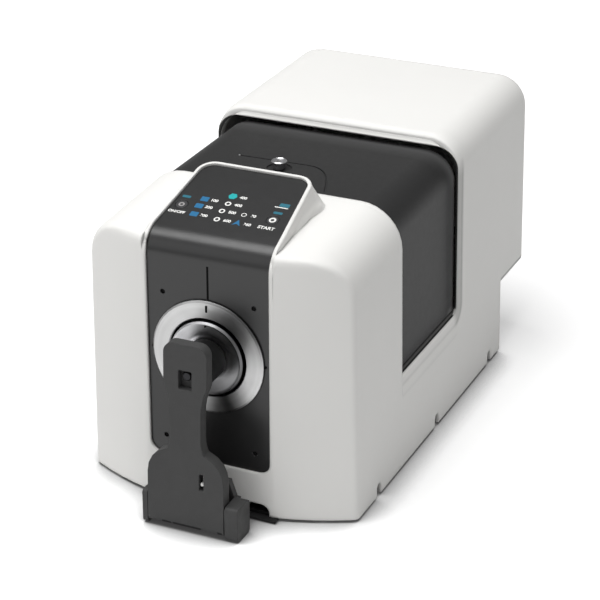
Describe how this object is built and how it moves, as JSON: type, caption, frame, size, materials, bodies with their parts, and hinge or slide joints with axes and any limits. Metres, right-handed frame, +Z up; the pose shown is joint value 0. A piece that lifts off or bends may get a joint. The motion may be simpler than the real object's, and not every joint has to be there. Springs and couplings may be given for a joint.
{
  "type": "color spectrophotometer",
  "caption": "Bench color spectrophotometer with a bowed white cover, a sliding chamber lid, a round front measuring port and a hinged sample holder with a clamp cup.",
  "frame": {"origin": "middle of the footprint, from the holder's front to the hood's rear, on the bench", "axes": "+X to the instrument's left-hand side seen from behind (right in the front view), the measuring port faces -Y, +Z up"},
  "size_m": [0.248, 0.4976, 0.27],
  "materials": {
    "white_moulding": "satin moulded plastic with a very fine grain",
    "black_moulding": "dark grey satin moulded plastic",
    "key_moulding": "satin key caps",
    "lid_moulding": "dark grey finely grained plastic",
    "holder_casting": "dark grey painted holder parts",
    "cup_moulding": "black clamp cup",
    "catch_moulding": "small white catch",
    "inner_black": "matt black painted inner metal",
    "turned_aluminium": "turned aluminium with fine concentric marks",
    "knob_metal": "turned metal knob",
    "steel": "plain steel",
    "sheet_metal": "zinc grey sheet metal",
    "rubber_foot": "black rubber",
    "sphere_white": "matt white diffuse coating",
    "circuit_board": "green coated circuit board",
    "capacitor_sleeve": "dark blue sleeve"
  },
  "bodies": {
    "instrument": {"main_cover": "white_moulding", "front_fascia": "black_moulding", "status_board": "circuit_board", "port_outer_ring": "turned_aluminium", "target_mask": "turned_aluminium", "port_hub": "inner_black", "front_bulkhead": "sheet_metal", "holder_bracket": "holder_casting", "holder_pin": "steel", "holder_spring": "steel", "chassis_plate": "inner_black", "foot_front_left": "rubber_foot", "foot_front_right": "rubber_foot", "foot_rear_left": "rubber_foot", "foot_rear_right": "rubber_foot", "chassis_side_left": "sheet_metal", "chassis_side_right": "sheet_metal", "lamp_left": "sheet_metal", "lamp_right": "sheet_metal", "flash_capacitor_left": "capacitor_sleeve", "flash_capacitor_right": "capacitor_sleeve", "sphere_front": "sphere_white", "sphere_rear": "sphere_white", "sphere_saddle": "sheet_metal", "chamber_tray": "inner_black", "lens_barrel": "inner_black", "spectrometer_body": "sheet_metal", "spectrometer_cover": "sheet_metal", "spectrometer_stand": "sheet_metal", "main_board": "circuit_board", "power_board": "circuit_board", "rear_panel": "black_moulding", "dc_inlet": "inner_black", "usb_port": "steel"},
    "lid": {"chamber_lid": "lid_moulding"},
    "knob": {"lid_knob": "knob_metal"},
    "arm": {"holder_arm": "holder_casting"},
    "cup": {"clamp_cup": "cup_moulding", "clamp_screw": "steel"},
    "catch": {"arm_catch": "catch_moulding"},
    "power_key": {"power_button": "key_moulding"},
    "measure_key": {"measure_button": "key_moulding"}
  },
  "joints": [
    {"name": "lid_slide", "type": "slide", "parent": "instrument", "child": "lid", "axis": [0, 1, 0], "range_m": [0, 0.075]},
    {"name": "knob_turn", "type": "hinge", "parent": "lid", "child": "knob", "pos_m": [-0.0143, -0.0305, 0.243], "axis": [0, 0, 1], "range_deg": [0, 90]},
    {"name": "holder_swing", "type": "hinge", "parent": "instrument", "child": "arm", "pos_m": [0, -0.2397, 0.011], "axis": [1, 0, 0], "range_deg": [0, 85], "stiffness_Nm_per_rad": 0.15, "springref_deg": -34.38},
    {"name": "cup_slide", "type": "slide", "parent": "arm", "child": "cup", "axis": [0, -1, 0], "range_m": [0, 0.0025], "stiffness_N_per_m": 600, "springref_m": -0.002},
    {"name": "catch_slide", "type": "slide", "parent": "arm", "child": "catch", "axis": [0, 0, 1], "range_m": [0, 0.006]},
    {"name": "power_press", "type": "slide", "parent": "instrument", "child": "power_key", "axis": [0, 0.2782, -0.9605], "range_m": [0, 0.0006], "stiffness_N_per_m": 700, "springref_m": -0.001},
    {"name": "measure_press", "type": "slide", "parent": "instrument", "child": "measure_key", "axis": [0, 0.2782, -0.9605], "range_m": [0, 0.0006], "stiffness_N_per_m": 700, "springref_m": -0.001}
  ]
}
